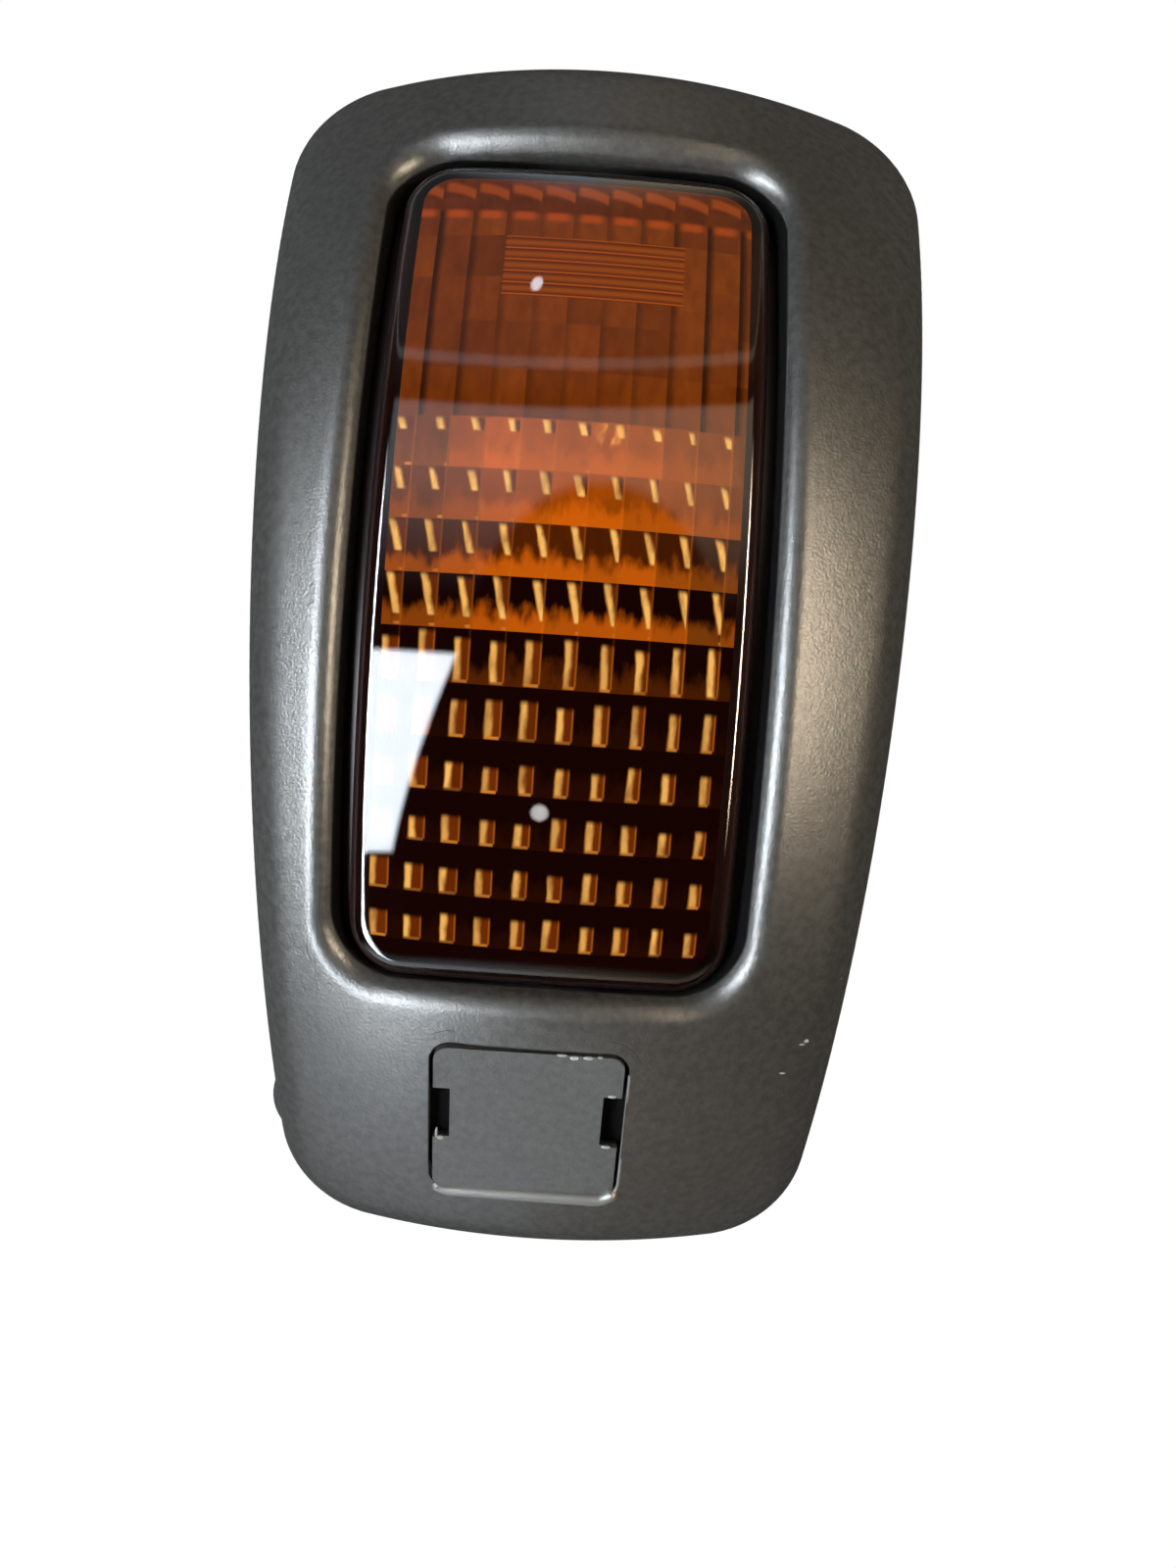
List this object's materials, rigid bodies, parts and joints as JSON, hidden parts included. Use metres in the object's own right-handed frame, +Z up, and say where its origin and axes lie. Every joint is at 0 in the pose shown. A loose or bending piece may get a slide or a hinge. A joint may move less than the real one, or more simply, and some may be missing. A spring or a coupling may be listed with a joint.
{
  "type": "truck door lamp",
  "caption": "Side indicator lamp for a truck door: bowed grey cover, recessed amber prism lens, screw cap below, bulb holder turned in from behind.",
  "frame": {"origin": "centre of the lamp on the plane where its gasket meets the door", "axes": "+X to the right seen from the front, +Y into the door, +Z up"},
  "size_m": [0.0938, 0.077, 0.1694],
  "materials": {
    "cover_plastic": "fine moulded grain, satin",
    "cap_plastic": "smooth, satin",
    "lens_amber": "polished, transparent amber",
    "rubber": "matt",
    "body_plastic": "moulded, satin",
    "reflector_metal": "vacuum metallised",
    "bulb_glass": "clear",
    "tungsten": "drawn wire",
    "brass": "stamped",
    "insulator": "black glass",
    "solder": "dull",
    "steel": "zinc plated",
    "foam": "closed-cell foam"
  },
  "bodies": {
    "root": {"front_cover": "cover_plastic", "screw_cap": "cap_plastic", "lens": "lens_amber", "lens_seal": "rubber", "lamp_body": "body_plastic", "reflector": "reflector_metal", "bulb_glass": "bulb_glass", "bulb_stem": "bulb_glass", "bulb_filament": "tungsten", "bulb_cap": "brass", "bulb_insulator": "insulator", "bulb_contact": "solder", "bulb_holder": "body_plastic", "holder_sleeve": "steel", "live_contact": "brass", "earth_contact": "brass", "holder_seal": "rubber", "cover_screws": "steel", "fixing_screw": "steel", "fixing_washer": "steel", "screw_sleeve": "brass", "door_gasket": "foam"}
  },
  "joints": []
}
